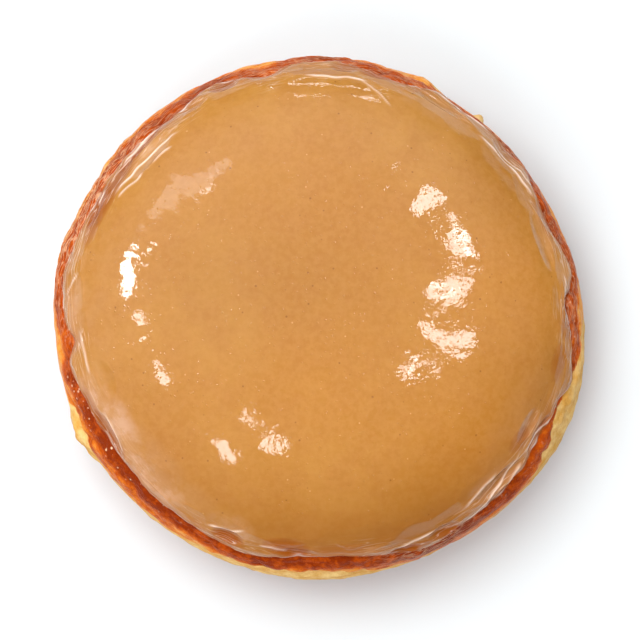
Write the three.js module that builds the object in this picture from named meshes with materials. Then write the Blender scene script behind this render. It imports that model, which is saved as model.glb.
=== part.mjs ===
// A shut, cream-filled yeast doughnut with a glossy caramel icing over its crown.
//
// Millimetres, +Z up. The origin is the middle of the flat spot that the doughnut rests on.
// A place on the doughnut is an azimuth, in degrees round +Z from +X, and a latitude, in degrees:
// -90 is the middle of the base, 0 the pale collar, which is the widest level, and 90 the crown.

import * as THREE from "three";
import { ParametricGeometry } from "three/addons/geometries/ParametricGeometry.js";

// ---- The form of the whole ----
const RADIUS = 45.8; // at the collar, before the swells
const COLLAR_LEVEL = 16.8; // the collar's height above the table
const CROWN_RISE = 20; // the dough's crown above the collar
const CROWN_POWER = 2.5; // 2 would be a plain ellipse, and more is squarer
const BELLY_DROP = 18.4; // the belly would reach this far below the collar, so the table flattens it
const BELLY_POWER = 2.6;
const TABLE_EASE = 0.4; // how softly the flat spot blends into the belly

// ---- Relief that the icing follows too ----
// Where the outline stands out or in, and over how many degrees it does.
const SWELLS = [
  { at: 30, spread: 24, out: -1.05 },
  { at: 57, spread: 4, out: -0.5 },
  { at: 131, spread: 8, out: 0.45 },
  { at: 167, spread: 13, out: 0.75 },
  { at: 268, spread: 19, out: -1.1 },
  { at: 336, spread: 22, out: 1.05 },
];
const UNEVEN = { seed: 3, size: 26, depth: 0.55 }; // slow swells and hollows all over
// Hollows where the shoulder sank, each so many degrees wide and tall on both sides of its middle.
const HOLLOWS = [
  { at: 1, latitude: 24, wide: 4, tall: 4.3, depth: 0.5 },
  { at: 17, latitude: 32, wide: 8, tall: 4, depth: 0.5 },
  { at: 40, latitude: 22, wide: 5, tall: 6.4, depth: 0.8 },
  { at: 61, latitude: 26, wide: 8, tall: 3.6, depth: 0.5 },
  { at: 84, latitude: 24, wide: 4, tall: 4.2, depth: 0.5 },
  { at: 91, latitude: 25, wide: 4, tall: 3.3, depth: 0.4 },
  { at: 113, latitude: 25, wide: 4, tall: 4.4, depth: 0.6 },
  { at: 122, latitude: 29, wide: 4, tall: 2.8, depth: 0.4 },
  { at: 138, latitude: 28, wide: 8, tall: 2.6, depth: 0.5 },
  { at: 138, latitude: 35, wide: 8, tall: 4, depth: 0.6 },
  { at: 156, latitude: 27, wide: 5, tall: 3, depth: 0.5 },
  { at: 199, latitude: 37, wide: 5, tall: 3.6, depth: 0.3 },
  { at: 211, latitude: 27, wide: 7, tall: 3.7, depth: 0.6 },
  { at: 248, latitude: 26, wide: 4, tall: 3.6, depth: 0.8 },
  { at: 265, latitude: 26, wide: 5, tall: 2.4, depth: 0.5 },
  { at: 289, latitude: 20, wide: 4, tall: 2.8, depth: 0.7 },
  { at: 299, latitude: 22, wide: 4, tall: 3.4, depth: 0.8 },
  { at: 316, latitude: 26, wide: 7, tall: 3.5, depth: 0.9 },
  { at: 316, latitude: 20, wide: 8, tall: 2.2, depth: 0.6 },
  { at: 330, latitude: 25, wide: 5, tall: 2.6, depth: 0.7 },
  { at: 330, latitude: 32, wide: 5, tall: 3, depth: 0.5 },
];
// Small cells, which are deepest round one latitude.
const DIMPLES = { seed: 11, round: 40, latitudes: 8, depth: 0.35, latitude: 26, spread: 9 };

// ---- Relief of the bare crust ----
const COLLAR = { half: 3.9, edge: 1.3, proud: 0.35, wander: 0.9, turns: 3, seed: 5 }; // the pale band
const COLLAR_LUMPS = [
  { at: 66, spread: 3, out: 0.5 },
  { at: 206, spread: 3.2, out: 1 },
  { at: 265, spread: 12, out: 0.3 },
  { at: 336, spread: 9, out: 0.4 },
];
const WRINKLES = { seed: 6, long: 9, tall: 2.6, depth: 0.3 }; // they run round the crust
const BLISTERS = { seed: 8, round: 66, latitudes: 8.5, height: 0.55 }; // with creases between them
const CELL = { jitter: 0.4, reach: 0.6 }; // of a cell's size, for the dimples and the blisters
const COVER_FADE = 4; // the crust's relief sinks over so many degrees below the hem

// ---- The icing ----
const GAP = 0.3; // between the dough and the icing's underside
const ICING = { hem: 0.75, shoulder: 0.8, crown: 1.4 }; // its thickness
const SHOULDER_SHARE = 0.15; // the shoulder's share of the way from the hem to the crown
const CROWN_SHARE = 0.6; // and where the full thickness starts
const HEM_ROUNDING = 1; // how many degrees the rounded edge bulges down
const HEM_LATITUDE = 21.8; // the mean level of its lower edge
const HEM_WAVES = { seed: 21, waves: 11, reach: 0.9 };
// Tongues reach down by so many degrees, and bays, which are negative, leave crust bare.
const TONGUES = [
  { at: 1, spread: 4, reach: -2.4 },
  { at: 9.5, spread: 2.5, reach: 3.6 },
  { at: 23, spread: 4, reach: -2.8 },
  { at: 35, spread: 4, reach: 4.3 },
  { at: 46, spread: 6, reach: 3.6 },
  { at: 60, spread: 3, reach: 4.9 },
  { at: 73, spread: 5.5, reach: -4.5 },
  { at: 88, spread: 5, reach: 3.2 },
  { at: 97, spread: 3, reach: 1.8 },
  { at: 103, spread: 4.5, reach: -5.3 },
  { at: 115, spread: 3, reach: 2.3 },
  { at: 130, spread: 7.5, reach: -5 },
  { at: 150, spread: 8, reach: -1.7 },
  { at: 174, spread: 7, reach: 3.3 },
  { at: 187.5, spread: 2.4, reach: -6.3 },
  { at: 192, spread: 3, reach: 2 },
  { at: 214, spread: 9, reach: -3.1 },
  { at: 250, spread: 5.5, reach: 2.4 },
  { at: 256, spread: 4, reach: 2 },
  { at: 269, spread: 8, reach: -2.8 },
  { at: 293, spread: 6, reach: 5.8 },
  { at: 307, spread: 7, reach: 2.6 },
  { at: 319, spread: 5, reach: 2.3 },
  { at: 328, spread: 7, reach: -2.2 },
  { at: 344.5, spread: 2.5, reach: 4.3 },
];
const WAVINESS = { seed: 31, size: 9, depth: 0.12 }; // slow waves in its surface

// ---- The grids ----
const ROUND = 120; // faces round each surface
const RINGS = { spot: 3, belly: 8, side: 12, covered: 11, rim: 2 };
const SPOT_LATITUDE = -67; // the flat spot's edge
const SIDE_LATITUDE = -26; // where the rings close up to draw the collar and the crust
const CROWDING = 1.5; // over 1 draws the rings under the icing together at its hem

const DEG = Math.PI / 180;
const { lerp, smoothstep } = THREE.MathUtils;

/** How far one azimuth lies from another, from -180 to 180. */
function turnFrom(at, azimuth) {
  return ((((azimuth - at) % 360) + 540) % 360) - 180;
}

/** The sum of what the features in a list add at an azimuth: all at their own, and less to both sides. */
function humps(azimuth, features, key) {
  const share = ({ at, spread }) => Math.exp(-((turnFrom(at, azimuth) / spread) ** 2) / 2);
  return features.reduce((sum, feature) => sum + feature[key] * share(feature), 0);
}

/** The same number from -1 to 1 every time for one corner of a lattice. */
function cornerValue(i, j, k, seed) {
  let h = Math.imul(i, 374761393) ^ Math.imul(j, 668265263);
  h ^= Math.imul(k, 1440662683) ^ Math.imul(seed, 1274126177);
  h = Math.imul(h ^ (h >>> 15), 2246822519);
  h = Math.imul(h ^ (h >>> 13), 3266489917);
  return ((h ^ (h >>> 16)) >>> 0) / 2147483647.5 - 1;
}

/** Smooth noise from -1 to 1, with features about one unit across. */
function noise(x, y, z, seed) {
  const [i, j, k] = [x, y, z].map(Math.floor);
  const [u, v, w] = [x - i, y - j, z - k].map((t) => t * t * (3 - 2 * t));
  const along = (dj, dk) =>
    lerp(cornerValue(i, j + dj, k + dk, seed), cornerValue(i + 1, j + dj, k + dk, seed), u);
  return lerp(lerp(along(0, 0), along(1, 0), v), lerp(along(0, 1), along(1, 1), v), w);
}

/** Uneven cells laid round the doughnut: 1 in the middle of a cell, and 0 at its corners. */
function cell(azimuth, latitude, { seed, round, latitudes }) {
  const u = (azimuth / 360) * round;
  const v = latitude / latitudes;
  let nearest = Infinity;
  for (let i = Math.floor(u) - 1; i <= Math.floor(u) + 1; i++) {
    for (let j = Math.floor(v) - 1; j <= Math.floor(v) + 1; j++) {
      const column = ((i % round) + round) % round;
      const du = i + 0.5 + CELL.jitter * cornerValue(column, j, 0, seed) - u;
      const dv = j + 0.5 + CELL.jitter * cornerValue(column, j, 1, seed) - v;
      nearest = Math.min(nearest, du * du + dv * dv);
    }
  }
  return Math.max(1 - nearest / CELL.reach, 0);
}

/** The plain form before any relief: a place on it in the plane of its azimuth, and the way out. */
function plainForm(latitude) {
  const above = latitude >= 0;
  const power = above ? CROWN_POWER : BELLY_POWER;
  const tall = above ? CROWN_RISE : BELLY_DROP;
  const c = Math.max(Math.cos(latitude * DEG), 0);
  const s = Math.sin(Math.abs(latitude) * DEG);
  const way = new THREE.Vector2(c ** (2 - 2 / power) / RADIUS, s ** (2 - 2 / power) / tall).normalize();
  const side = above ? 1 : -1;
  return {
    radius: RADIUS * c ** (2 / power),
    height: side * tall * s ** (2 / power),
    out: way.x,
    up: side * way.y,
  };
}

/** The latitude of the icing's lower edge. */
function hemLatitude(azimuth) {
  const { seed, waves, reach } = HEM_WAVES;
  const turn = azimuth * DEG;
  const wave = noise(waves * Math.cos(turn), waves * Math.sin(turn), 0, seed);
  return HEM_LATITUDE - humps(azimuth, TONGUES, "reach") + reach * wave;
}

/** How deep the shoulder's hollows and dimples are. */
function shoulderDepth(azimuth, latitude) {
  const hollows = HOLLOWS.reduce((sum, h) => {
    const across = turnFrom(h.at, azimuth) / h.wide;
    const along = (latitude - h.latitude) / h.tall;
    return sum + h.depth * Math.max(0, 1 - across ** 2 - along ** 2);
  }, 0);
  const near = Math.exp(-(((latitude - DIMPLES.latitude) / DIMPLES.spread) ** 2));
  return hollows + DIMPLES.depth * near * cell(azimuth, latitude, DIMPLES);
}

/** How far the doughnut stands out of the plain form, with or without icing. */
function swell(azimuth, latitude, x, y, z) {
  const girth = Math.cos(latitude * DEG) ** 2;
  const { seed, size, depth } = UNEVEN;
  const slow = depth * noise(x / size, y / size, z / size, seed);
  return humps(azimuth, SWELLS, "out") * girth + slow - shoulderDepth(azimuth, latitude);
}

/** The bare crust's own relief: the pale collar, and the wrinkles and blisters on both sides of it. */
function crust(azimuth, latitude, x, y, z) {
  const turn = azimuth * DEG;
  const { half, edge, proud, wander, turns, seed } = COLLAR;
  const level = wander * noise(turns * Math.cos(turn), turns * Math.sin(turn), 0, seed);
  const band = 1 - smoothstep(Math.abs(z - level), half - edge, half + edge);
  const lumps = proud + humps(azimuth, COLLAR_LUMPS, "out");
  const { long, tall, depth } = WRINKLES;
  const wrinkles = depth * noise(x / long, y / long, z / tall, WRINKLES.seed);
  const aboveBase = smoothstep(latitude, SPOT_LATITUDE, SIDE_LATITUDE);
  const blisters = aboveBase * BLISTERS.height * cell(azimuth, latitude, BLISTERS);
  return band * lumps + (1 - band) * (wrinkles + blisters);
}

/** A place `off` millimetres outside the dough. Nothing reaches below the table, which flattens the base. */
function place(azimuth, latitude, off, target) {
  const { radius, height, out, up } = plainForm(latitude);
  const [c, s] = [Math.cos(azimuth * DEG), Math.sin(azimuth * DEG)];
  const [x, y, z] = [radius * c, radius * s, height];
  const hem = hemLatitude(azimuth);
  const bare = 1 - smoothstep(latitude, hem - COVER_FADE, hem);
  const rise = off + swell(azimuth, latitude, x, y, z) + bare * crust(azimuth, latitude, x, y, z);
  const above = COLLAR_LEVEL + height + rise * up;
  const eased = (Math.max(above + TABLE_EASE, 0) ** 2) / (4 * TABLE_EASE);
  const reach = radius + rise * out;
  return target.set(reach * c, reach * s, above > TABLE_EASE ? above : eased);
}

/** The latitude of one of the rings that the dough and both sides of the icing share, from the hem up. */
function coveredLatitude(azimuth, ring) {
  return lerp(hemLatitude(azimuth), 90, (ring / RINGS.covered) ** CROWDING);
}

/** The latitude of one of the dough's rings, from the middle of the base to the crown. */
function doughLatitude(azimuth, ring) {
  const { spot, belly, side } = RINGS;
  if (ring <= spot) return lerp(-90, SPOT_LATITUDE, ring / spot);
  if (ring <= spot + belly) return lerp(SPOT_LATITUDE, SIDE_LATITUDE, (ring - spot) / belly);
  const above = ring - spot - belly;
  if (above <= side) return lerp(SIDE_LATITUDE, hemLatitude(azimuth), above / side);
  return coveredLatitude(azimuth, above - side);
}

function doughGeometry() {
  const rings = RINGS.spot + RINGS.belly + RINGS.side + RINGS.covered;
  return new ParametricGeometry(
    (u, v, target) => place(360 * u, doughLatitude(360 * u, Math.round(v * rings)), 0, target),
    ROUND,
    rings,
  );
}

/** The icing's thickness from its hem, where share is 0, to the crown, where it is 1. */
function icingThickness(share, x, y, z) {
  const { seed, size, depth } = WAVINESS;
  const inShoulder = smoothstep(share, 0, SHOULDER_SHARE);
  const inCrown = smoothstep(share, SHOULDER_SHARE, CROWN_SHARE);
  const wave = depth * inShoulder * noise(x / size, y / size, z / size, seed);
  return lerp(lerp(ICING.hem, ICING.shoulder, inShoulder), ICING.crown, inCrown) + wave;
}

/**
 * One closed skin: from the crown down over the top, round the hem, and up the underside. Its rings run
 * along u, so that its faces split the way the dough's do and the gap stays even.
 */
function icingGeometry() {
  const { covered, rim } = RINGS;
  const rings = covered + rim + covered;
  return new ParametricGeometry(
    (u, v, target) => {
      const azimuth = 360 * v;
      const ring = Math.round(u * rings);
      if (ring > covered && ring < covered + rim) {
        return place(azimuth, hemLatitude(azimuth) - HEM_ROUNDING, GAP + ICING.hem / 2, target);
      }
      const latitude = coveredLatitude(azimuth, ring > covered ? ring - covered - rim : covered - ring);
      if (ring > covered) return place(azimuth, latitude, GAP, target);
      place(azimuth, latitude, 0, target);
      const thickness = icingThickness(1 - ring / covered, target.x, target.y, target.z);
      return place(azimuth, latitude, GAP + thickness, target);
    },
    rings,
    ROUND,
  );
}

function piece(name, geometry, color, roughness) {
  const material = new THREE.MeshStandardMaterial({ color, roughness, metalness: 0 });
  const mesh = new THREE.Mesh(geometry, material);
  mesh.name = name;
  return mesh;
}

const doughnut = new THREE.Group();
doughnut.add(piece("dough", doughGeometry(), 0xb5692f, 0.5));
doughnut.add(piece("icing", icingGeometry(), 0xd69a55, 0.15));

export default doughnut;
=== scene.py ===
import math

import bpy
import numpy as np
from mathutils import Matrix, Vector

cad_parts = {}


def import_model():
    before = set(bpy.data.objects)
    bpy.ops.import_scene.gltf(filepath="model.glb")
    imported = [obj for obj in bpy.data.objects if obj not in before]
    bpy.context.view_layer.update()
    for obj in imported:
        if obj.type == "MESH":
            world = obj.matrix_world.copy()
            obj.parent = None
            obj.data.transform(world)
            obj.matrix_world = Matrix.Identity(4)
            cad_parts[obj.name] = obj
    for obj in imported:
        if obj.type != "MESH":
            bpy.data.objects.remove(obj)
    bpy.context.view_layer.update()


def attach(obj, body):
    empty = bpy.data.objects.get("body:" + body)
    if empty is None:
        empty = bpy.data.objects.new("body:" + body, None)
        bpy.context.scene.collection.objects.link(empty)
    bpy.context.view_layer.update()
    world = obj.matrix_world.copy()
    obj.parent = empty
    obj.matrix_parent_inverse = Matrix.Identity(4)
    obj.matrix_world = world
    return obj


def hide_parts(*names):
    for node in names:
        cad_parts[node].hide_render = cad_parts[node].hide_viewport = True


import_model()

# A shut yeast doughnut with a glossy caramel icing over its crown.
#
# Lengths are in millimetres up to the moment a mesh is made, which is in metres. A place on the doughnut
# is an azimuth, in degrees round +Z from +X, and a latitude, in degrees: -90 is the middle of the base,
# 0 the pale collar, which is the widest level, and 90 the crown.

MM = 0.001

# ---- The form of the whole, as in the part's source ----
RADIUS = 45.8  # at the collar, before the swells
COLLAR_LEVEL = 16.8  # the collar's height above the table
CROWN_RISE = 20.0  # the dough's crown above the collar
CROWN_POWER = 2.5  # 2 would be a plain ellipse, and more is squarer
BELLY_DROP = 18.4  # the belly would reach this far below the collar, so the table flattens it
BELLY_POWER = 2.6
TABLE_EASE = 0.4  # how softly the flat spot blends into the belly

# (azimuth, spread, out): where the outline stands out or in, and over how many degrees it does.
SWELLS = [
    (30, 24, -1.05), (57, 4, -0.5), (131, 8, 0.45),
    (167, 13, 0.75), (268, 19, -1.1), (336, 22, 1.05),
]
UNEVEN = {"seed": 3, "size": 26, "depth": 0.55}  # slow swells and hollows all over

# (azimuth, latitude, wide, tall, depth, thin): where the shoulder sank, so many degrees wide and tall on
# both sides of the middle. thin says how far the crust shows through the icing in the hollow.
HOLLOWS = [
    (1, 24, 4, 4.3, 0.5, 0.5), (17, 32, 8, 4, 0.5, 0), (40, 22, 5, 6.4, 0.8, 0.1),
    (61, 26, 8, 3.6, 0.5, 0.1), (84, 24, 4, 4.2, 0.5, 0.6), (91, 25, 4, 3.3, 0.4, 0.1),
    (113, 25, 4, 4.4, 0.6, 0.8), (122, 29, 4, 2.8, 0.4, 0.1), (138, 28, 8, 2.6, 0.5, 0.7),
    (138, 35, 8, 4, 0.6, 0), (156, 27, 5, 3, 0.5, 0.7), (199, 37, 5, 3.6, 0.3, 0.1),
    (211, 27, 7, 3.7, 0.6, 0.7), (248, 26, 4, 3.6, 0.8, 0.7), (265, 26, 5, 2.4, 0.5, 0.4),
    (289, 20, 4, 2.8, 0.7, 0.8), (299, 22, 4, 3.4, 0.8, 0.3), (316, 26, 7, 3.5, 0.9, 0.2),
    (316, 20, 8, 2.2, 0.6, 0.5), (330, 25, 5, 2.6, 0.7, 0.4), (330, 32, 5, 3, 0.5, 0.3),
]
# Small cells, which are deepest round one latitude.
DIMPLES = {"seed": 11, "round": 40, "latitudes": 8, "depth": 0.35, "level": 26, "spread": 9}

COLLAR = {"half": 3.9, "edge": 1.3, "proud": 0.35, "wander": 0.9, "turns": 3, "seed": 5}  # the pale band
# (azimuth, spread, out)
COLLAR_LUMPS = [(66, 3, 0.5), (206, 3.2, 1), (265, 12, 0.3), (336, 9, 0.4)]
WRINKLES = {"seed": 6, "long": 9, "tall": 2.6, "depth": 0.3}  # they run round the crust
BLISTERS = {"seed": 8, "round": 66, "latitudes": 8.5, "height": 0.55}  # with creases between them
CELL = {"jitter": 0.4, "reach": 0.6}  # of a cell's size, for the dimples and the blisters
COVER_FADE = 4  # the crust's relief sinks over so many degrees below the hem
SPOT_LATITUDE = -67  # the flat spot's edge
SIDE_LATITUDE = -26  # where the side starts, with its collar and its crust

GAP = 0.3  # between the solids of the dough and the icing
ICING = {"hem": 0.75, "shoulder": 0.8, "crown": 1.4}  # the solid's thickness
SHOULDER_SHARE = 0.15  # the shoulder's share of the way from the hem to the crown
CROWN_SHARE = 0.6  # and where the full thickness starts
HEM_LATITUDE = 21.8  # the mean level of the icing's lower edge
HEM_WAVES = {"seed": 21, "waves": 11, "reach": 0.9}
# (azimuth, spread, reach): tongues reach down by so many degrees, and bays are negative.
TONGUES = [
    (1, 4, -2.4), (9.5, 2.5, 3.6), (23, 4, -2.8), (35, 4, 4.3), (46, 6, 3.6), (60, 3, 4.9),
    (73, 5.5, -4.5), (88, 5, 3.2), (97, 3, 1.8), (103, 4.5, -5.3), (115, 3, 2.3), (130, 7.5, -5),
    (150, 8, -1.7), (174, 7, 3.3), (187.5, 2.4, -6.3), (192, 3, 2), (214, 9, -3.1), (250, 5.5, 2.4),
    (256, 4, 2), (269, 8, -2.8), (293, 6, 5.8), (307, 7, 2.6), (319, 5, 2.3), (328, 7, -2.2),
    (344.5, 2.5, 4.3),
]

# ---- Finer relief than the solids have ----
HEM_NIBBLES = {"seed": 41, "waves": 34, "reach": 0.5}  # small waves in the hem
HEM_BULGE = 0.7  # degrees that the hem's rounded edge bulges down
HEM_THIN = 0.6  # the icing's thickness at its very edge
HEM_TAPER = 3.5  # degrees over which it thickens
UNDER_SINK = 0.1  # its underside lies this far inside the crust, so that no gap shows
ICING_WAVES = [(8.0, 0.07, 51), (4.0, 0.03, 54), (2.0, 0.025, 57)]  # (size, depth, seed)
# The hem's rolled edge: how many degrees above the hem it is, and how high and how uneven.
BEAD = {"above": 0.9, "spread": 0.55, "height": 0.16, "uneven": 0.6, "waves": 14, "seed": 43}
# Creases that run round the doughnut: how many cross a radian, how many degrees apart they lie, how
# sharp and how high they are.
RIM_FOLDS = {"waves": 7, "apart": 3.2, "sharp": 0.22, "height": 0.16, "seed": 81}
RIM_FADE = (4.4, 11)  # degrees above the hem between which they fade out
# The larger folds: (azimuth, latitude) where one starts and ends, how wide it is in degrees, how strong
# the painted highlight on its crest is.
FOLDS = [
    (150, 33.5, 130, 36.5, 0.4, 1.0), (151, 35.6, 143, 38.5, 0.35, 0.8),
    (143, 27, 131, 26.4, 0.5, 1.0), (139, 39, 133, 40, 0.35, 0.7),
    (154.5, 26.8, 151, 27.3, 0.35, 0.9), (167, 22.6, 164.5, 22.8, 0.3, 0.5),
    (64, 20.6, 48, 20.4, 0.7, 1.0), (47, 29, 29, 26.5, 0.6, 1.0),
    (43, 25, 29, 22.6, 0.4, 0.9), (338, 22.8, 325, 26, 0.4, 1.0),
    (323, 28, 305, 19.4, 0.4, 0.8), (322, 24.4, 313, 20.6, 0.5, 0.6),
    (93, 32, 79, 32, 0.45, 1.0), (80, 32, 71, 40, 0.4, 0.5),
    (251, 31, 243, 27, 0.5, 0.8), (176.5, 24, 173, 27.5, 0.35, 0.6),
    (174, 26, 172, 29, 0.4, 0.6), (8, 26, 357, 25, 0.5, 0.8),
    (207, 31, 216, 29, 0.4, 0.6), (298, 24, 288, 23, 0.5, 0.8),
    (316, 31, 306, 27, 0.5, 0.6), (186, 30, 196, 31, 0.5, 0.5),
    (262, 26, 256, 27, 0.5, 0.5),
]
FOLD_HEIGHT = 0.12
FOLD_WANDER = {"seed": 91, "waves": 16, "reach": 0.8}  # they wander so many degrees up and down
# Fibres in the crust, with the same kinds of size as the icing's creases.
FIBRES = {"waves": 10, "apart": 2.1, "sharp": 0.45, "height": 0.24, "seed": 83}
FIBRES_EVERYWHERE = 0.2  # how far they stand out all round
FIBROUS = [(150, 24, 0.8), (92, 14, 0.5), (15, 14, 0.2)]  # (azimuth, spread, amount): and more here
CRUST_ROUGH = [(1.9, 0.12, 61), (0.9, 0.06, 62)]  # (size, depth, seed)
LUMP_ROUGH = 2  # how much rougher the crust is on the collar's lumps
# (azimuth, latitude, wide, tall, out): a crumb that stands out of the collar, and small knobs on it.
KNOBS = [
    (51.5, 2, 1.5, 6, 1.1), (202, -1, 2, 6, 0.25), (207, 1, 1.8, 6, 0.3), (211.5, 0, 1.8, 5, 0.35),
]

# ---- Where the crust browned, and where it stayed pale ----
# How brown it is, from 0 to 1: just above the collar, along the hem, on the belly and how much more on
# the base and in the blisters' creases.
TOAST = {"collar": 0.24, "hem": 0.76, "belly": 0.5, "base": 0.12, "creases": 0.16}
BROWNED = 10  # degrees below the hem down to which it is brown
BROWNED_SOFT = 2.5  # degrees to both sides over which the brown fades out
BASE_LATITUDES = (-30, -65)  # between which the belly gets as brown as the base
TOAST_PATCHES = {"waves": 5, "reach": 0.12, "seed": 71}
BELLY_PATCHES = {"waves": 5, "reach": 0.1, "seed": 72}
# (azimuth, spread, amount): where the crust above the collar is browner, or less brown.
BROWNING = [
    (102, 12, 0.04), (128, 12, 0.05), (160, 16, -0.03), (182, 8, -0.03), (213, 12, 0.36),
    (235, 8, 0.12), (250, 6, -0.05), (272, 9, 0.2), (300, 14, 0.24), (330, 9, -0.12),
    (20, 12, 0.05), (350, 8, -0.05),
]
# (azimuth, spread, degrees): where the brown ends higher up.
BROWN_RISE = [(212, 16, 1.2), (238, 10, 1.2), (190, 8, 1.5)]
PALE_TOP = 1.6  # the pale band's upper edge above the collar's level
# (azimuth, spread, reach): where it reaches further up.
PALE_REACH = [
    (51.5, 1.4, 2.5), (64, 5, 2.5), (127, 9, 0.8), (203, 5, 3.4), (211, 4, 0.8), (222, 8, 1.0),
    (248, 9, 2.4), (269, 9, 4.2), (302, 9, -2.2), (337, 10, 6.6), (354, 7, 2.4),
]
PALE_SOFT = {"top": 0.7, "low": 0.9}  # how soft its edges are
PALE_WANDER = {"waves": 6, "reach": 1.2, "seed": 74}  # of its lower edge
PALE_RAGGED = {"waves": 24, "tall": 1.5, "reach": 0.7, "seed": 73}  # of both edges

# ---- Marks on the crust, with painted highlights ----
FIBRES_SEEN = 0.15  # the share of the fibrous pattern in the colour all round
FIBRE_LATITUDES = (-45, -10)  # between which it sets in
# (azimuth, spread, amount): where the fibres get painted highlights, pale lines that stand in for glints
# of light, and the latitudes where they set in.
PAINTED_GLINTS = [(156, 18, 0.65), (92, 16, 0.4), (48, 14, 0.5), (8, 14, 0.35), (296, 7, 0.5)]
PAINTED_GLINT_LATITUDES = (2, 9)
# (azimuth, spread, amount): where pale specks are painted on the crust as highlights that stand in for
# wet glints, and the degrees below the hem between which they set in.
PAINTED_GLINT_SPECKS = [(212, 13, 1.0), (352, 10, 0.4), (318, 10, 0.15)]
PAINTED_GLINT_SPECKS_BELOW = (9, 6)

# ---- Marks on the icing, with painted highlights, shade and haze ----
# Painted highlight: a pale line along the hem's rounded edge, where light would catch it. The next lines
# say where it breaks off and where it shows.
PAINTED_LIP = {"above": 0.3, "spread": 0.6}  # the hem's pale edge, in degrees
PAINTED_LIP_BREAKS = {"seed": 45, "waves": 15, "reach": 1}
PAINTED_LIP_BROKEN = (-0.5, 0.1)  # it breaks off where those waves are lower
# (azimuth, spread, amount): where the painted highlight along the hem shows.
PAINTED_LIP_SHOWN = [
    (138, 16, 0.8), (166, 14, 0.3), (97, 16, 0.9), (45, 18, 0.8), (5, 12, 0.5), (320, 16, 0.8),
    (270, 20, 0.3), (225, 14, 0.4),
]
# (azimuth, spread, amount): where the rim gets painted highlights, pale streaks that stand in for glints
# of light, and the degrees above the hem between which they set in and fade out.
PAINTED_STREAKS = [
    (148, 20, 0.5), (180, 12, 0.5), (98, 18, 0.3), (44, 18, 0.35), (5, 14, 0.35), (318, 16, 0.4),
    (250, 8, 0.3), (288, 8, 0.3), (215, 14, 0.2),
]
PAINTED_STREAKS_START = (0, 1)
PAINTED_STREAKS_END = (4, 13)
# The rim's milky look is partly a milky film and partly painted haze that stands in for reflection.
MILKY_RIM = (1, 9)  # degrees above the hem between which the rim's milky look ends
# (azimuth, spread, amount): where the rim is clear, without the milky film and its painted haze.
CLEAR_RIM = [(20, 10, 0.5), (80, 8, 0.5), (152, 12, 0.5), (262, 8, 0.6), (310, 8, 0.4), (345, 9, 0.5)]
# (azimuth, latitude, wide, tall, amount): where the icing looks milky, partly from a milky film and
# partly from painted haze that stands in for reflection.
MILKY_PATCHES = [
    (210, 32, 11, 9, 0.95), (226, 30, 10, 8, 0.8), (200, 28, 6, 6, 0.5), (180, 28, 9, 6, 0.3),
    (58, 27, 10, 5, 0.2), (43, 28, 7, 5, 0.2), (313, 27, 10, 7, 0.3), (328, 30, 7, 6, 0.35),
    (20, 30, 9, 6, 0.2), (248, 30, 7, 8, 0.5), (138, 36, 9, 4, 0.5), (60, 34, 12, 5, 0.25),
    (186, 34, 34, 11, 0.15), (222, 34, 24, 10, 0.25), (330, 36, 22, 10, 0.1),
]
# (azimuth, latitude, wide, tall, amount): where the icing is so thin that the crust shows through it.
WINDOWS = [
    (152, 29.5, 14, 4.6, 0.9), (134, 29, 8, 2.6, 0.5), (77, 26, 4, 2.8, 0.85), (90, 29, 9, 3, 0.3),
    (262, 28, 6, 5, 0.85), (248, 24, 5, 3, 0.5), (291, 20, 5, 3, 0.6), (300, 20.5, 4, 3, 0.6),
    (326, 32, 4, 3.4, 0.5), (332, 26, 4, 3, 0.4), (347, 29, 5, 4, 0.5), (357, 27, 5, 3.4, 0.45),
    (22, 27, 6, 3, 0.4), (203, 26, 5, 2.6, 0.5), (275, 28, 7, 3, 0.35),
]
# How far the crust shows through the icing along the hem, and for how many degrees upwards.
THIN_EDGE = {"amount": 0.75, "reach": 1.6}
THIN_HOLLOWS = (6, 16)  # degrees above the hem between which the hollows stop being thin
# (azimuth, spread, amount, from, to): where the icing on the shoulder is darker, partly because it is
# thinner and partly as painted shade towards the lower right, and the latitudes between which it gets so.
SHEER_AND_PAINTED_SHADE = [(288, 38, 0.42, 62, 34), (304, 30, 0.15, 40, 29)]
# (x, y, spread, amount): painted light and shade, where the icing's colour on the crown is made lighter,
# or darker if the amount is negative.
SHADES = [(37, 3, 9, 0.16), (28, -25, 8, 0.13), (0, 3, 7, -0.05), (-18, 3, 9, -0.09), (0, -15, 7, 0.05)]

# ---- Colours, as (red, green, blue) from 0 to 255 ----
CRUST_COLOURS = {
    "golden": (234, 158, 66), "orange": (214, 108, 22), "brown": (182, 74, 10), "dark": (136, 46, 6),
    "crack": (140, 52, 18), "bread": (222, 164, 76), "light_bread": (244, 208, 138),
    # The last two here are painted highlights: glinting lines along the fibres and glinting specks.
    "bread_speck": (206, 138, 52), "painted_highlight_line": (240, 198, 156), "bead": (248, 204, 164),
}
ICING_COLOURS = {
    "caramel": (174, 115, 43), "light_caramel": (184, 128, 56), "cloud": (170, 110, 46),
    "grain": (196, 139, 74), "dark_speck": (112, 62, 20), "light_speck": (226, 176, 120),
    # Partly painted light: the shoulder's darker tone is partly painted shade, and the rim's and the
    # milky tones are partly painted reflection haze.
    "sheer_and_painted_shade": (136, 74, 26), "rim": (172, 116, 76), "milky": (200, 154, 120), "thin": (150, 76, 16),
    # Painted highlights: the pale rim streaks, fold crests and hem edge.
    "painted_streak": (238, 208, 182), "crest": (244, 216, 196), "painted_lip_highlight": (248, 228, 214),
}
DEGREE = 0.8  # how long a degree of latitude is on the shoulder, for the grain of the materials

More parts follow.
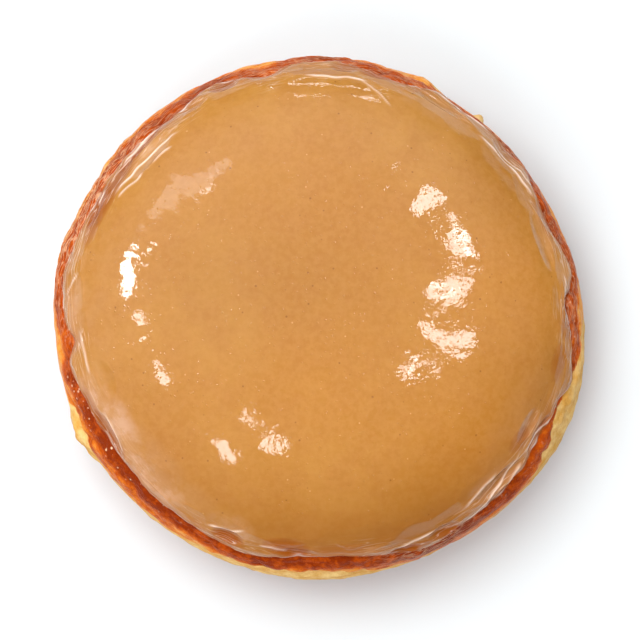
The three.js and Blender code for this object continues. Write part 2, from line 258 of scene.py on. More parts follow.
# ---- Grids: how many faces they have round the doughnut, and how many rows in each part ----
ROUND = 720
DOUGH_ROWS = {"spot": 6, "belly": 28, "side": 92, "covered": 10}
ICING_ROWS = {"under": 8, "edge": 8, "shoulder": 92, "crown": 28}
COVERED_FROM = 1  # degrees above the hem where the covered rows start
SHOULDER_TOP = 48  # the latitude where the icing's rows spread out
CROWDING = 1.3  # over 1 draws the shoulder's rows together at the hem

# ---- Camera, floor and light ----
VIEW_ELEVATION = math.radians(82)  # above the horizon, seen from the -Y side
VIEW_DISTANCE = 562 * MM
VIEW_LENS = 180  # millimetres
AIM = Vector((0, -0.4, 16.9)) * MM  # the place in the middle of the picture
TO_CAMERA = Vector((0, -math.cos(VIEW_ELEVATION), math.sin(VIEW_ELEVATION)))
FLOOR_HALF = 4.0  # metres
FLOOR_COLOURS = [(0.695, 0.735, 0.757, 1), (0.728, 0.77, 0.793, 1)]  # as light: the grain's and its own

# The studio's sky: how bright it is at the horizon, how much brighter overhead, how much it gains
# towards its bright side, and the heights, as the sine of the elevation, between which it brightens.
SKY = {"low": 0.09, "rise": 0.84, "side": (-0.61, 1.08, 0), "from": 0.05, "to": 0.75}
# The two broad lamps: (towards, glow). A lamp's or a pane's glow is beside a white of 1.
LAMPS = {"key": ((-0.21, 0.12, 0.97), 6.5), "fill": ((-0.16, -0.595, 0.79), 5.2)}
LAMP_SIDE = 0.5  # metres

# The lit panes that the crown mirrors: (x, y, wide, long, glow, turned). x and y are of the way towards
# one, which is 1 m long, and it is turned by so many degrees from lying along y.
PANES = {
    "right": [
        (0.357, 0.500, 0.072, 0.220, 16, 39), (0.443, 0.434, 0.020, 0.060, 16, -88),
        (0.438, 0.384, 0.060, 0.135, 16, 57), (0.483, 0.397, 0.032, 0.095, 16, 57),
        (0.335, 0.210, 0.045, 0.095, 16, 28), (0.392, 0.248, 0.070, 0.110, 15, 42),
        (0.281, 0.090, 0.030, 0.057, 18, 21), (0.385, 0.078, 0.055, 0.200, 16, 81),
        (0.245, -0.028, 0.022, 0.100, 16, 70), (0.180, -0.052, 0.028, 0.070, 16, 66),
    ],
    "lower_left": [
        (-0.358, -0.446, 0.070, 0.115, 14, -9), (-0.125, -0.346, 0.045, 0.140, 16, 13),
        (-0.186, -0.237, 0.026, 0.035, 14, -53),
    ],
    "left": [
        (-0.700, 0.256, 0.130, 0.180, 34, -40), (-0.694, 0.165, 0.085, 0.110, 34, 84),
        (-0.584, 0.306, 0.045, 0.055, 22, 0), (-0.632, 0.003, 0.090, 0.090, 16, 86),
        (-0.552, -0.168, 0.055, 0.085, 15, 42),
    ],
    "upper_left": [
        (-0.470, 0.530, 0.420, 0.150, 3.0, 0), (-0.280, 0.600, 0.100, 0.100, 3.0, 0),
        (-0.322, 0.487, 0.035, 0.070, 9, 62),
    ],
}
# The strips of light that the icing's rim mirrors: (azimuth, latitude, long, wide, glow), with the place
# on the rim that mirrors each of them to the camera.
STRIPS = [
    (140, 33, 0.2, 0.014, 12), (86, 32, 0.45, 0.018, 14), (92, 38.5, 0.16, 0.014, 14),
    (74, 37, 0.12, 0.02, 14),
]


# ---- Form ----


def smoothstep(x, low, high):
    """0 at low and 1 at high, which may be the smaller, with a smooth way between them."""
    t = np.clip((x - low) / (high - low), 0, 1)
    return t * t * (3 - 2 * t)


def lerp(a, b, t):
    return a + (b - a) * t


def turn_from(at, azimuth):
    """How far one azimuth lies from another, from -180 to 180."""
    return np.mod(azimuth - at + 180, 360) - 180


def humps(azimuth, features):
    """The sum of what (azimuth, spread, amount) features add."""
    return sum(
        amount * np.exp(-((turn_from(at, azimuth) / spread) ** 2) / 2)
        for at, spread, amount in features
    )


def corner_value(i, j, k, seed):
    """The same number from -1 to 1 every time for one corner of a lattice."""
    i, j, k = (np.asarray(v).astype(np.int64).astype(np.uint32) for v in (i, j, k))
    with np.errstate(over="ignore"):
        h = (i * np.uint32(374761393)) ^ (j * np.uint32(668265263))
        h = h ^ (k * np.uint32(1440662683)) ^ np.uint32((seed * 1274126177) & 0xFFFFFFFF)
        h = (h ^ (h >> np.uint32(15))) * np.uint32(2246822519)
        h = (h ^ (h >> np.uint32(13))) * np.uint32(3266489917)
    return (h ^ (h >> np.uint32(16))) / 2147483647.5 - 1


def noise(x, y, z, seed):
    """Smooth noise from -1 to 1, with features about one unit across."""
    x, y, z = np.broadcast_arrays(x, y, z)
    i, j, k = np.floor(x), np.floor(y), np.floor(z)
    u, v, w = (t * t * (3 - 2 * t) for t in (x - i, y - j, z - k))

    def along(dj, dk):
        return lerp(corner_value(i, j + dj, k + dk, seed), corner_value(i + 1, j + dj, k + dk, seed), u)

    return lerp(lerp(along(0, 0), along(1, 0), v), lerp(along(0, 1), along(1, 1), v), w)


def cell(azimuth, latitude, cells):
    """Uneven cells laid round the doughnut: 1 in the middle of a cell, and 0 at its corners."""
    columns, seed = cells["round"], cells["seed"]
    u = azimuth / 360 * columns
    v = latitude / cells["latitudes"]
    nearest = np.full(np.broadcast(u, v).shape, np.inf)
    for di in (-1, 0, 1):
        for dj in (-1, 0, 1):
            i, j = np.floor(u) + di, np.floor(v) + dj
            column = np.mod(i, columns)
            du = i + 0.5 + CELL["jitter"] * corner_value(column, j, 0 * j, seed) - u
            dv = j + 0.5 + CELL["jitter"] * corner_value(column, j, 0 * j + 1, seed) - v
            nearest = np.minimum(nearest, du * du + dv * dv)
    return np.maximum(1 - nearest / CELL["reach"], 0)


def plain_form(latitude):
    """The plain form before any relief: (radius, height, out, up), the last two the way out of it."""
    above = latitude >= 0
    power = np.where(above, CROWN_POWER, BELLY_POWER)
    tall = np.where(above, CROWN_RISE, BELLY_DROP)
    side = np.where(above, 1, -1)
    c = np.maximum(np.cos(np.radians(latitude)), 0)
    s = np.sin(np.radians(np.abs(latitude)))
    out, up = c ** (2 - 2 / power) / RADIUS, s ** (2 - 2 / power) / tall
    size = np.hypot(out, up)
    return RADIUS * c ** (2 / power), side * tall * s ** (2 / power), out / size, side * up / size


def ripples(x, y, z, size, depth, seed):
    """Waves in a surface: noises that are turned against each other, so that no grid shows."""
    total = 0
    for k in range(3):
        c, s = math.cos(0.7 * k), math.sin(0.7 * k)
        across, along = (c * x - s * y) / size + 0.37 * k, (s * x + c * y) / size + 0.61 * k
        total = total + noise(across, along, z / size + 0.29 * k, seed + k)
    return depth * total / math.sqrt(3)


def ring_noise(azimuth, waves, reach, seed, level=0, tall=1):
    """Noise that goes round the doughnut in so many waves a radian and closes up."""
    turn = np.radians(azimuth)
    return reach * noise(waves * np.cos(turn), waves * np.sin(turn), level / tall, seed)


def creases(azimuth, latitude, waves, apart, sharp, height, seed):
    """Ridges with sharp crests that wander round the doughnut."""
    flat = ring_noise(azimuth, waves, 1, seed, latitude, apart)
    return height * np.maximum(0, 1 - np.abs(flat) / sharp) ** 1.5


def folds(azimuth, latitude):
    """For each of the larger folds, how high it is at a place and how strong its crest's painted
    highlight is, from 0 to 1.
    """
    latitude = latitude + ring_noise(azimuth, **FOLD_WANDER)
    for start, from_level, end, to_level, wide, pale in FOLDS:
        share = turn_from(start, azimuth) / turn_from(start, end)
        level = lerp(from_level, to_level, share)
        ends = smoothstep(share, -0.1, 0.15) * (1 - smoothstep(share, 0.85, 1.1))
        crest = ends * np.exp(-(((latitude - level) / wide) ** 2))
        yield crest, pale * crest


def hem_latitude(azimuth):
    """The latitude of the icing's lower edge."""
    return (
        HEM_LATITUDE
        - humps(azimuth, TONGUES)
        + ring_noise(azimuth, **HEM_WAVES)
        + ring_noise(azimuth, **HEM_NIBBLES)
    )


def oval(azimuth, latitude, at, level, wide, tall):
    """1 in the middle of an oval patch, and 0 past its edge."""
    across = turn_from(at, azimuth) / wide
    return np.maximum(0, 1 - across**2 - ((latitude - level) / tall) ** 2)


def swell(azimuth, latitude, x, y, z):
    """How far the doughnut stands out of the plain form, with or without icing."""
    girth = np.cos(np.radians(latitude)) ** 2
    size = UNEVEN["size"]
    slow = UNEVEN["depth"] * noise(x / size, y / size, z / size, UNEVEN["seed"])
    hollows = sum(depth * oval(azimuth, latitude, *form) for *form, depth, _ in HOLLOWS)
    near = np.exp(-(((latitude - DIMPLES["level"]) / DIMPLES["spread"]) ** 2))
    dimples = DIMPLES["depth"] * near * cell(azimuth, latitude, DIMPLES)
    return humps(azimuth, SWELLS) * girth + slow - hollows - dimples


def collar_band(azimuth, z):
    """1 on the pale collar, and 0 above and below it."""
    level = ring_noise(azimuth, COLLAR["turns"], COLLAR["wander"], COLLAR["seed"])
    half, edge = COLLAR["half"], COLLAR["edge"]
    return 1 - smoothstep(np.abs(z - level), half - edge, half + edge)


def crust(azimuth, latitude, x, y, z):
    """The bare crust's own relief."""
    band = collar_band(azimuth, z)
    lumps = COLLAR["proud"] + humps(azimuth, COLLAR_LUMPS)
    long, tall = WRINKLES["long"], WRINKLES["tall"]
    wrinkles = WRINKLES["depth"] * noise(x / long, y / long, z / tall, WRINKLES["seed"])
    above_base = smoothstep(latitude, SPOT_LATITUDE, SIDE_LATITUDE)
    blisters = above_base * BLISTERS["height"] * cell(azimuth, latitude, BLISTERS)
    rough = sum(d * noise(x / s, y / s, z / s, seed) for s, d, seed in CRUST_ROUGH)
    rough = rough * (1 + LUMP_ROUGH * humps(azimuth, COLLAR_LUMPS))
    fibres = creases(azimuth, latitude, **FIBRES) * (FIBRES_EVERYWHERE + humps(azimuth, FIBROUS))
    knobs = sum(out * oval(azimuth, latitude, *form) for *form, out in KNOBS)
    return band * lumps + (1 - band) * (wrinkles + blisters + fibres) + above_base * rough + knobs


def place(azimuth, latitude, off):
    """Places `off` millimetres outside the dough, in millimetres."""
    radius, height, out, up = plain_form(latitude)
    c, s = np.cos(np.radians(azimuth)), np.sin(np.radians(azimuth))
    x, y, z = radius * c, radius * s, height
    hem = hem_latitude(azimuth)
    bare = 1 - smoothstep(latitude, hem - COVER_FADE, hem)
    rise = off + swell(azimuth, latitude, x, y, z) + bare * crust(azimuth, latitude, x, y, z)
    above = COLLAR_LEVEL + height + rise * up
    eased = np.maximum(above + TABLE_EASE, 0) ** 2 / (4 * TABLE_EASE)
    reach = radius + rise * out
    return np.stack([reach * c, reach * s, np.where(above > TABLE_EASE, above, eased)], -1)


def closed_mesh(name, places, attributes):
    """A closed skin through rows of places from one pole to the other, with numbers on its vertices."""
    rows, columns = places.shape[:2]
    inner = places[1:-1].reshape(-1, 3)
    vertices = np.vstack([places[0, :1], inner, places[-1, :1]]) * MM
    first, last = 0, len(vertices) - 1
    grid = 1 + np.arange((rows - 2) * columns).reshape(rows - 2, columns)
    turned = np.roll(grid, -1, axis=1)
    quads = np.stack([grid[:-1], turned[:-1], turned[1:], grid[1:]], -1).reshape(-1, 4)
    start = [(first, b, a) for a, b in zip(grid[0], turned[0])]
    end = [(last, a, b) for a, b in zip(grid[-1], turned[-1])]
    mesh = bpy.data.meshes.new(name)
    mesh.from_pydata(vertices.tolist(), [], quads.tolist() + start + end)
    for key, values in attributes.items():
        flat = np.concatenate([values[0, :1], values[1:-1].ravel(), values[-1, :1]])
        layer = mesh.attributes.new(key, "FLOAT", "POINT")
        layer.data.foreach_set("value", flat.astype(np.float32))
    mesh.polygons.foreach_set("use_smooth", [True] * len(mesh.polygons))
    mesh.update()
    return mesh


def piece(name, mesh, node, material):
    """Puts a mesh in the scene in place of a node of the frame."""
    shown = bpy.data.objects.new(name, mesh)
    bpy.context.scene.collection.objects.link(shown)
    mesh.materials.append(material)
    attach(shown, "root")
    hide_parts(node)


# ---- Materials ----


class Nodes:
    """Nodes that are added to a tree one after another."""

    def __init__(self, tree):
        self.tree = tree

    def node(self, kind, inputs=None, **settings):
        """A new node with these settings, and its inputs by name or number."""
        made = self.tree.nodes.new(kind)
        for key, value in settings.items():
            setattr(made, key, value)
        for key, value in (inputs or {}).items():
            self.feed(made.inputs[key], value)
        return made

    def feed(self, socket, value):
        """Links a socket to another, or sets it to a value."""
        if isinstance(value, bpy.types.NodeSocket):
            self.tree.links.new(value, socket)
        else:
            socket.default_value = value

    def math(self, operation, a, b=0.0, clamp=False):
        return self.node("ShaderNodeMath", {0: a, 1: b}, operation=operation, use_clamp=clamp).outputs[0]

    def vector(self, operation, inputs, output="Vector"):
        """A vector calculation, of which `output` is used."""
        return self.node("ShaderNodeVectorMath", inputs, operation=operation).outputs[output]

    def spread(self, value, low, high, to_low=0.0, to_high=1.0):
        """What lies from low to high, smoothly made into to_low to to_high."""
        inputs = {"Value": value, "From Min": low, "From Max": high, "To Min": to_low, "To Max": to_high}
        return self.node("ShaderNodeMapRange", inputs, interpolation_type="SMOOTHSTEP").outputs[0]


class Shader(Nodes):
    """A material."""

    def __init__(self, name):
        self.material = bpy.data.materials.new(name)
        self.material.use_nodes = True
        super().__init__(self.material.node_tree)
        self.surface = self.tree.nodes["Principled BSDF"]

    def attribute(self, name):
        return self.node("ShaderNodeAttribute", attribute_name=name).outputs["Fac"]

    def noise(self, size, detail=2.0, roughness=0.5, stretch=(1, 1, 1)):
        """Noise from 0 to 1 with features about `size` millimetres across."""
        where = self.node("ShaderNodeTexCoord").outputs["Object"]
        scaled = self.node("ShaderNodeMapping", {"Vector": where, "Scale": stretch}).outputs[0]
        inputs = {"Vector": scaled, "Scale": 1 / (size * MM), "Detail": detail, "Roughness": roughness}
        return self.node("ShaderNodeTexNoise", inputs).outputs["Fac"]

    def fibres(self, long, apart, detail=2.0, roughness=0.5):
        """Noise from 0 to 1 whose features are `long` mm round the doughnut and `apart` mm across."""
        where = self.node("ShaderNodeTexCoord").outputs["Object"]
        flat = self.vector("MULTIPLY", {0: where, 1: (1, 1, 0)})
        turn = self.vector("NORMALIZE", {0: flat})
        around = self.vector("SCALE", {0: turn, "Scale": RADIUS / long})
        across = self.math("MULTIPLY", self.attribute("level"), 1 / apart)
        level = self.node("ShaderNodeCombineXYZ", {2: across}).outputs[0]
        both = self.vector("ADD", {0: around, 1: level})
        inputs = {"Vector": both, "Scale": 1.0, "Detail": detail, "Roughness": roughness}
        return self.node("ShaderNodeTexNoise", inputs).outputs["Fac"]

    def lines(self, value, width):
        """1 where a noise crosses its middle, and 0 further than `width` from it."""
        off = self.math("ABSOLUTE", self.math("SUBTRACT", value, 0.5))
        return self.spread(off, 0, width, 1, 0)

    def spots(self, apart, radius, share, full):
        """`full` in round spots and 0 elsewhere: a spot in a share of the cells, each `apart` mm wide."""
        where = self.node("ShaderNodeTexCoord").outputs["Object"]
        cells = self.node("ShaderNodeTexVoronoi", {"Vector": where, "Scale": 1 / (apart * MM)})
        near = self.spread(cells.outputs["Distance"], 0.4 * radius / apart, radius / apart, full, 0)
        pick = self.node("ShaderNodeSeparateColor", {0: cells.outputs["Color"]}).outputs[0]
        return self.math("MULTIPLY", near, self.math("LESS_THAN", pick, share))

    def mix(self, factor, a, b):
        """The number a where factor is 0, and b where it is 1."""
        return self.node("ShaderNodeMix", {0: factor, 2: a, 3: b}, data_type="FLOAT").outputs[0]

    def blend(self, factor, a, b):
        """Colour a where factor is 0, and b where it is 1."""
        made = self.node("ShaderNodeMix", data_type="RGBA")
        self.feed(made.inputs[0], factor)
        self.feed(made.inputs[6], a)
        self.feed(made.inputs[7], b)
        return made.outputs[2]

    def bump(self, height, distance, strength=1.0, normal=None):
        """A height from 0 to 1 seen as relief `distance` mm deep, on top of another relief's normal."""
        inputs = {"Height": height, "Distance": distance * MM, "Strength": strength}
        if normal is not None:
            inputs["Normal"] = normal
        return self.node("ShaderNodeBump", inputs).outputs["Normal"]

    def finish(self, **inputs):
        """The material, once its surface's inputs are set."""
        for key, value in inputs.items():
            self.feed(self.surface.inputs[key.replace("_", " ")], value)
        return self.material


def as_light(colours):
    """Named colours as an image holds them, from 0 to 255, made into light."""

    def light(part):
        return part / 12.92 if part <= 0.04045 else ((part + 0.055) / 1.055) ** 2.4

    return {name: tuple(light(part / 255) for part in rgb) + (1.0,) for name, rgb in colours.items()}


def crust_material():
    """Fried dough: golden on the collar, then orange, and reddish brown where it browned most, with
    painted highlights.
    """
    shader = Shader("fried_crust")
    tint = as_light(CRUST_COLOURS)
    toast = shader.attribute("toast")
    pale = shader.attribute("pale")
    fibrous = shader.attribute("fibrous")
    mottle = shader.mix(fibrous, shader.noise(2.6, 4, 0.6), shader.fibres(3.2, 1.6, 4, 0.65))
    fine = shader.mix(fibrous, shader.noise(0.9, 3, 0.6), shader.fibres(1.4, 0.6, 3, 0.65))
    toasted = shader.math("ADD", toast, shader.spread(mottle, 0.3, 0.7, -0.16, 0.16))
    toasted = shader.math("ADD", toasted, shader.spread(fine, 0.3, 0.7, -0.14, 0.14), clamp=True)
    orange = shader.blend(shader.spread(toasted, 0.1, 0.45), tint["golden"], tint["orange"])
    brown = shader.blend(shader.spread(toasted, 0.4, 0.68), orange, tint["brown"])
    dark = shader.blend(shader.spread(toasted, 0.66, 1.0), brown, tint["dark"])
    crack = shader.lines(shader.fibres(3.4, 0.8, 2, 0.5), 0.06)
    crack = shader.math("MULTIPLY", crack, shader.spread(fibrous, 0.4, 1.0, 0, 0.75))
    dark = shader.blend(crack, dark, tint["crack"])
    bread = shader.blend(shader.spread(mottle, 0.35, 0.65), tint["bread"], tint["light_bread"])
    bread = shader.blend(shader.spread(fine, 0.35, 0.65, 0, 0.35), bread, tint["bread_speck"])
    patchy = shader.math("ADD", pale, shader.spread(fine, 0.3, 0.7, -0.15, 0.15))
    colour = shader.blend(shader.spread(patchy, 0.3, 0.7), dark, bread)
    # Painted highlights: pale lines along the fibres that stand in for glints of light.
    painted_highlight_line = shader.lines(shader.fibres(2.6, 0.75, 2, 0.5), 0.075)
    painted_glint = shader.math("MULTIPLY", painted_highlight_line, shader.attribute("painted_glint"), clamp=True)
    colour = shader.blend(painted_glint, colour, tint["painted_highlight_line"])
    # Painted highlights: pale specks that stand in for wet glints of light.
    painted_glint_specks = shader.math("MULTIPLY", shader.spots(1.0, 0.3, 0.5, 1.0), shader.attribute("painted_glint_specks"))
    colour = shader.blend(painted_glint_specks, colour, tint["bead"])
    rough = shader.spread(pale, 0.2, 0.8, 0.3, 0.55)
    relief = shader.bump(shader.noise(0.45, 3, 0.6), 0.1)
    relief = shader.bump(fine, 0.22, normal=relief)
    return shader.finish(Base_Color=colour, Roughness=rough, Normal=relief, Specular_IOR_Level=0.03)


def icing_material():
    """Set caramel icing: opaque and glossy, and browner where it is so thin that the crust shows, with
    painted highlights, shade and haze.
    """
    shader = Shader("caramel_icing")
    tint = as_light(ICING_COLOURS)
    slow = shader.noise(24, 2, 0.5)
    cloud = shader.noise(6, 4, 0.6)
    grain = shader.noise(1.1, 3, 0.6)
    film = shader.fibres(6, 1.8, 3, 0.6)
    body = shader.blend(shader.spread(slow, 0.3, 0.7), tint["caramel"], tint["light_caramel"])
    body = shader.blend(shader.spread(cloud, 0.35, 0.7, 0, 0.55), body, tint["cloud"])
    body = shader.blend(shader.spread(grain, 0.3, 0.7, 0, 0.3), body, tint["grain"])
    body = shader.blend(shader.spots(2.2, 0.24, 0.5, 0.55), body, tint["dark_speck"])
    body = shader.blend(shader.spots(2.9, 0.2, 0.5, 0.5), body, tint["light_speck"])
    # Partly thinner icing and partly painted shade: the shoulder darker towards the lower right.
    body = shader.blend(shader.attribute("sheer_and_painted_shade"), body, tint["sheer_and_painted_shade"])
    # Painted light and shade: the crown's colour made lighter in some places and darker in others.
    inputs = {"Color": body, "Value": shader.attribute("shade")}
    body = shader.node("ShaderNodeHueSaturation", inputs).outputs[0]
    # Partly a milky film and partly painted reflection haze: the rim and the milky patches made paler and
    # greyer.
    rim = shader.math("MULTIPLY", shader.attribute("rim"), shader.spread(film, 0.25, 0.6, 0.3, 0.85))
    colour = shader.blend(rim, body, tint["rim"])
    blotches = shader.noise(4.5, 4, 0.65)
    patchy = shader.spread(blotches, 0.35, 0.6, 0.35, 1.0)
    milky = shader.math("MULTIPLY", shader.attribute("milky_patch"), patchy)
    colour = shader.blend(milky, colour, tint["milky"])
    colour = shader.blend(shader.attribute("thin"), colour, tint["thin"])
    # Painted highlights: pale streaks on the rim that stand in for glints of light.
    painted_highlight_line = shader.lines(shader.fibres(9, 1.2, 1, 0.4), 0.03)
    painted_streak = shader.math("MULTIPLY", painted_highlight_line, shader.attribute("painted_streak"), clamp=True)
    colour = shader.blend(painted_streak, colour, tint["painted_streak"])
    # Painted highlight: the folds' crests made pale where light would catch them.
    painted_crest_highlight = shader.math("MULTIPLY", shader.attribute("crest"), shader.spread(film, 0.3, 0.5, 0.6, 1.0))
    colour = shader.blend(painted_crest_highlight, colour, tint["crest"])
    # Painted highlight: the pale line along the hem.
    colour = shader.blend(shader.attribute("painted_lip_highlight"), colour, tint["painted_lip_highlight"])
    relief = shader.bump(shader.noise(1.3, 2, 0.5), 0.022)
    relief = shader.bump(shader.noise(0.6, 2, 0.5), 0.01, normal=relief)
    relief = shader.bump(shader.spots(1.7, 0.26, 0.35, 1.0), 0.03, -1, normal=relief)
    relief = shader.bump(shader.spots(0.8, 0.2, 0.5, 1.0), 0.025, normal=relief)
    return shader.finish(
        Base_Color=colour,
        Roughness=0.025,
        Normal=relief,
        Specular_IOR_Level=0.42,
        Subsurface_Weight=0.15,
        Subsurface_Radius=(1.0, 0.5, 0.25),
        Subsurface_Scale=0.8 * MM,
    )


# ---- Pieces ----


def steps(count, last=False):
    """A column of even steps from 0 to 1, where last says whether 1 itself is one of them."""
    return np.linspace(0, 1, count, endpoint=last)[:, None]


def dough_mesh():
    azimuths = np.arange(ROUND) * 360 / ROUND
    hems = hem_latitude(azimuths)[None, :]
    top = hems + COVERED_FROM
    spot, belly, side = (steps(DOUGH_ROWS[part]) for part in ("spot", "belly", "side"))
    latitude = np.vstack([
        lerp(-90, SPOT_LATITUDE, spot) + 0 * hems,
        lerp(SPOT_LATITUDE, SIDE_LATITUDE, belly) + 0 * hems,
        lerp(SIDE_LATITUDE, top, side),
        lerp(top, 90, steps(DOUGH_ROWS["covered"], last=True)),
    ])
    azimuth = azimuths[None, :] + 0 * latitude
    fibrous = np.clip(FIBRES_SEEN + humps(azimuth, FIBROUS), 0, 1)
    painted_glint_levels = (hems - below for below in PAINTED_GLINT_SPECKS_BELOW)
    marks = {
        "level": latitude * DEGREE,
        "toast": toast(azimuth, latitude),
        "pale": paleness(azimuth, latitude),
        # where the crust gets painted highlights along its fibres
        "painted_glint": humps(azimuth, PAINTED_GLINTS) * smoothstep(latitude, *PAINTED_GLINT_LATITUDES),
        "fibrous": fibrous * smoothstep(latitude, *FIBRE_LATITUDES),
        # where the crust gets painted highlight specks
        "painted_glint_specks": humps(azimuth, PAINTED_GLINT_SPECKS) * smoothstep(latitude, *painted_glint_levels),
    }
    return closed_mesh("dough_skin", place(azimuth, latitude, 0), marks)


def toast(azimuth, latitude):
    """How brown the crust is, from 0 to 1 where it is darkest."""
    low = hem_latitude(azimuth) - BROWNED + humps(azimuth, BROWN_RISE)
    near_hem = smoothstep(latitude, low - BROWNED_SOFT, low + BROWNED_SOFT)
    # What changes round the doughnut fades out on its base, where all azimuths meet.
    on_side = smoothstep(latitude, SPOT_LATITUDE, SPOT_LATITUDE / 2)
    crease = 0.5 - cell(azimuth, latitude, BLISTERS)
    patches = ring_noise(azimuth, **TOAST_PATCHES) + humps(azimuth, BROWNING)
    above = lerp(TOAST["collar"], TOAST["hem"], near_hem) + patches
    below = TOAST["belly"] + TOAST["base"] * smoothstep(latitude, *BASE_LATITUDES)
    below = below + on_side * ring_noise(azimuth, **BELLY_PATCHES)
    return np.clip(np.where(latitude > 0, above, below) + TOAST["creases"] * on_side * crease, 0, 1)


def paleness(azimuth, latitude):
    """1 on the collar, which stayed pale, and 0 on the browned crust."""
    height = plain_form(latitude)[1]
    ragged = ring_noise(azimuth, level=height, **PALE_RAGGED)
    top = PALE_TOP + humps(azimuth, PALE_REACH) + ragged
    low = COLLAR["half"] + ring_noise(azimuth, **PALE_WANDER) + ragged
    under_top = 1 - smoothstep(height, top - PALE_SOFT["top"], top + PALE_SOFT["top"])
    over_low = 1 - smoothstep(-height, low - PALE_SOFT["low"], low + PALE_SOFT["low"])
    return under_top * over_low


def icing_mesh():
    azimuths = np.arange(ROUND) * 360 / ROUND
    hems = hem_latitude(azimuths)[None, :]
    half_turn = np.pi * (steps(ICING_ROWS["edge"]) - 0.5)
    under = lerp(90, hems, steps(ICING_ROWS["under"]))
    edge = hems - HEM_BULGE * np.cos(half_turn)
    outside = np.vstack([
        lerp(hems, SHOULDER_TOP, steps(ICING_ROWS["shoulder"]) ** CROWDING),
        lerp(SHOULDER_TOP, 90, steps(ICING_ROWS["crown"], last=True)) + 0 * hems,
    ])
    latitude = np.vstack([under, edge, outside])
    azimuth = azimuths[None, :] + 0 * latitude
    off = np.vstack([
        0 * under - UNDER_SINK,
        HEM_THIN / 2 * (1 + np.sin(half_turn)) + 0 * hems,
        icing_top(azimuth[-len(outside):], outside),
    ])
    return closed_mesh("icing_skin", place(azimuth, latitude, off), icing_marks(azimuth, latitude))


def icing_marks(azimuth, latitude):
    """The numbers that icing_material reads at each place."""
    above = latitude - hem_latitude(azimuth)
    # The span above the hem where the rim's painted streaks lie.
    painted_streak_span = smoothstep(above, *PAINTED_STREAKS_START) * (1 - smoothstep(above, *PAINTED_STREAKS_END))
    milky_rim = 1 - smoothstep(above, *MILKY_RIM)
    milky_patches = sum(amount * oval(azimuth, latitude, *form) for *form, amount in MILKY_PATCHES)
    # The painted highlight along the hem, and where it breaks off.
    painted_lip_highlight = np.exp(-(((above - PAINTED_LIP["above"]) / PAINTED_LIP["spread"]) ** 2))
    unbroken = smoothstep(ring_noise(azimuth, **PAINTED_LIP_BREAKS), *PAINTED_LIP_BROKEN)
    x, y, _ = np.moveaxis(place(azimuth, latitude, 0), -1, 0)
    return {
        "level": latitude * DEGREE,
        # painted highlights: the rim's pale streaks
        "painted_streak": humps(azimuth, PAINTED_STREAKS) * painted_streak_span,
        "thin": np.clip(thinness(azimuth, latitude), 0, 1),
        # the rim's milky film and painted haze
        "rim": milky_rim * np.clip(1 - humps(azimuth, CLEAR_RIM), 0, 1),
        "milky_patch": np.clip(milky_patches, 0, 1),
        # thinner icing and painted shade on the shoulder
        "sheer_and_painted_shade": sum(
            humps(azimuth, [hump]) * smoothstep(latitude, none, full) for *hump, none, full in SHEER_AND_PAINTED_SHADE
        ),
        # painted light and shade on the crown
        "shade": 1 + sum(
            amount * np.exp(-((x - at_x) ** 2 + (y - at_y) ** 2) / (2 * spread**2))
            for at_x, at_y, spread, amount in SHADES
        ),
        # painted highlights on the folds' crests
        "crest": np.clip(sum(pale for crest, pale in folds(azimuth, latitude)), 0, 1),
        # the painted highlight along the hem
        "painted_lip_highlight": painted_lip_highlight * humps(azimuth, PAINTED_LIP_SHOWN) * unbroken,
    }


def icing_top(azimuth, latitude):
    """How far the icing's outer face stands off the dough."""
    hem = hem_latitude(azimuth)
    above = latitude - hem
    share = above / (90 - hem)
    in_shoulder = smoothstep(share, 0, SHOULDER_SHARE)
    in_crown = smoothstep(share, SHOULDER_SHARE, CROWN_SHARE)
    body = GAP + lerp(lerp(ICING["hem"], ICING["shoulder"], in_shoulder), ICING["crown"], in_crown)
    x, y, z = np.moveaxis(place(azimuth, latitude, 0), -1, 0)
    waves = sum(ripples(x, y, z, *wave) for wave in ICING_WAVES)
    folded = creases(azimuth, latitude, **RIM_FOLDS) * (1 - smoothstep(above, *RIM_FADE))
    folded = folded + FOLD_HEIGHT * sum(crest for crest, pale in folds(azimuth, latitude))
    full = smoothstep(above, -HEM_TAPER, HEM_TAPER) * 2 - 1
    uneven = 1 + ring_noise(azimuth, BEAD["waves"], BEAD["uneven"], BEAD["seed"])
    bead = BEAD["height"] * uneven * np.exp(-(((above - BEAD["above"]) / BEAD["spread"]) ** 2))
    return lerp(HEM_THIN, body + waves + folded, np.clip(full, 0, 1)) + bead


def thinness(azimuth, latitude):
    """How far the crust shows through the icing, from 0 to 1."""
    above = latitude - hem_latitude(azimuth)
    edge = THIN_EDGE["amount"] * np.exp(-((np.maximum(above, 0) / THIN_EDGE["reach"]) ** 2))
    hollows = sum(thin * np.sqrt(oval(azimuth, latitude, *form)) for *form, _, thin in HOLLOWS)
    windows = sum(amount * np.sqrt(oval(azimuth, latitude, *form)) for *form, amount in WINDOWS)
    return edge + hollows * (1 - smoothstep(above, *THIN_HOLLOWS)) + windows


# ---- Camera, floor and light ----


def camera():
    data = bpy.data.cameras.new("camera")
    data.lens = VIEW_LENS
    shown = bpy.data.objects.new("camera", data)
    bpy.context.scene.collection.objects.link(shown)
    shown.location = AIM + VIEW_DISTANCE * TO_CAMERA
    shown.rotation_euler = TO_CAMERA.to_track_quat("Z", "Y").to_euler()
    bpy.context.scene.camera = shown


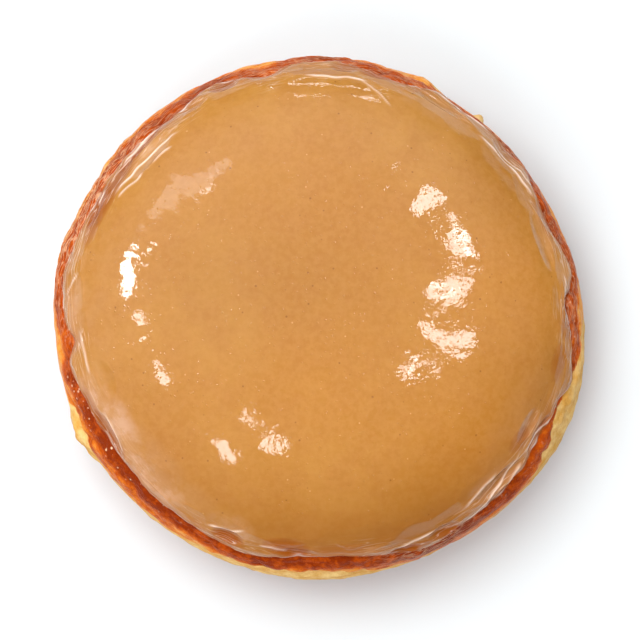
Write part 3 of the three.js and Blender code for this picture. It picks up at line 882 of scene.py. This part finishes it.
def floor():
    mesh = bpy.data.meshes.new("floor")
    corners = [(x * FLOOR_HALF, y * FLOOR_HALF, 0) for x, y in ((-1, -1), (1, -1), (1, 1), (-1, 1))]
    mesh.from_pydata(corners, [], [(0, 1, 2, 3)])
    shader = Shader("floor_paper")
    grain = shader.spread(shader.noise(4, 2), 0.3, 0.7, 0.98, 1.0)
    colour = shader.blend(grain, *FLOOR_COLOURS)
    mesh.materials.append(shader.finish(Base_Color=colour, Roughness=0.9, Specular_IOR_Level=0.1))
    shown = bpy.data.objects.new("floor", mesh)
    bpy.context.scene.collection.objects.link(shown)


def softbox(name, toward, along, size, glow, only_reflected=True, origin=AIM):
    """A flat light 1 m from origin in the direction `toward`, with its long side along `along`.

    size is how wide and long it is in metres, and glow how bright it looks beside a white of 1.
    """
    data = bpy.data.lights.new(name, "AREA")
    data.shape = "RECTANGLE"
    data.size, data.size_y = size
    data.energy = glow * math.pi * size[0] * size[1]
    shown = bpy.data.objects.new(name, data)
    bpy.context.scene.collection.objects.link(shown)
    away = Vector(toward).normalized()
    up = Vector(along)
    up = (up - up.dot(away) * away).normalized()
    shown.location = origin + away
    shown.rotation_euler = Matrix((up.cross(away), up, away)).transposed().to_euler()
    shown.visible_diffuse = not only_reflected
    shown.visible_glossy = only_reflected


def panes():
    """The lights that show only as highlights."""
    for side, rows in PANES.items():
        for number, (x, y, wide, long, glow, turned) in enumerate(rows):
            toward = (x, y, math.sqrt(1 - x * x - y * y))
            turn = math.radians(turned)
            along = (math.sin(turn), math.cos(turn), 0)
            softbox(f"{side}_pane_{number}", toward, along, (wide, long), glow)
    for number, (azimuth, latitude, long, wide, glow) in enumerate(STRIPS):
        turn = math.radians(azimuth)
        out, up = plain_form(latitude)[2:]
        normal = Vector((out * math.cos(turn), out * math.sin(turn), up))
        toward = 2 * normal.dot(TO_CAMERA) * normal - TO_CAMERA
        spot = Vector(place(azimuth, latitude, ICING["shoulder"])) * MM
        along = (-math.sin(turn), math.cos(turn), 0)
        softbox(f"rim_strip_{number}", toward, along, (wide, long), glow, origin=spot)


def world():
    """A studio that is bright overhead and on one side, and dim towards the horizon."""
    made = bpy.data.worlds.new("studio")
    made.use_nodes = True
    sky = Nodes(made.node_tree)
    way = sky.node("ShaderNodeTexCoord").outputs["Generated"]
    height = sky.node("ShaderNodeSeparateXYZ", {0: way}).outputs["Z"]
    lifted = sky.spread(height, SKY["from"], SKY["to"])
    side = sky.vector("DOT_PRODUCT", {0: way, 1: SKY["side"]}, "Value")
    gain = sky.math("ADD", side, SKY["rise"])
    rise = sky.math("MULTIPLY", lifted, gain)
    background = made.node_tree.nodes["Background"]
    background.inputs["Color"].default_value = (1, 1, 1, 1)
    sky.feed(background.inputs["Strength"], sky.math("MAXIMUM", sky.math("ADD", rise, SKY["low"]), 0.0))
    bpy.context.scene.world = made


def lamps():
    """The two broad lights, which show only by what they light."""
    for name, (toward, glow) in LAMPS.items():
        softbox(name, toward, (1, 1, 0), (LAMP_SIDE, LAMP_SIDE), glow, only_reflected=False)


piece("dough_crust", dough_mesh(), "dough", crust_material())
piece("icing_glaze", icing_mesh(), "icing", icing_material())
camera()
floor()
world()
lamps()
panes()
bpy.context.scene.view_settings.view_transform = "Standard"
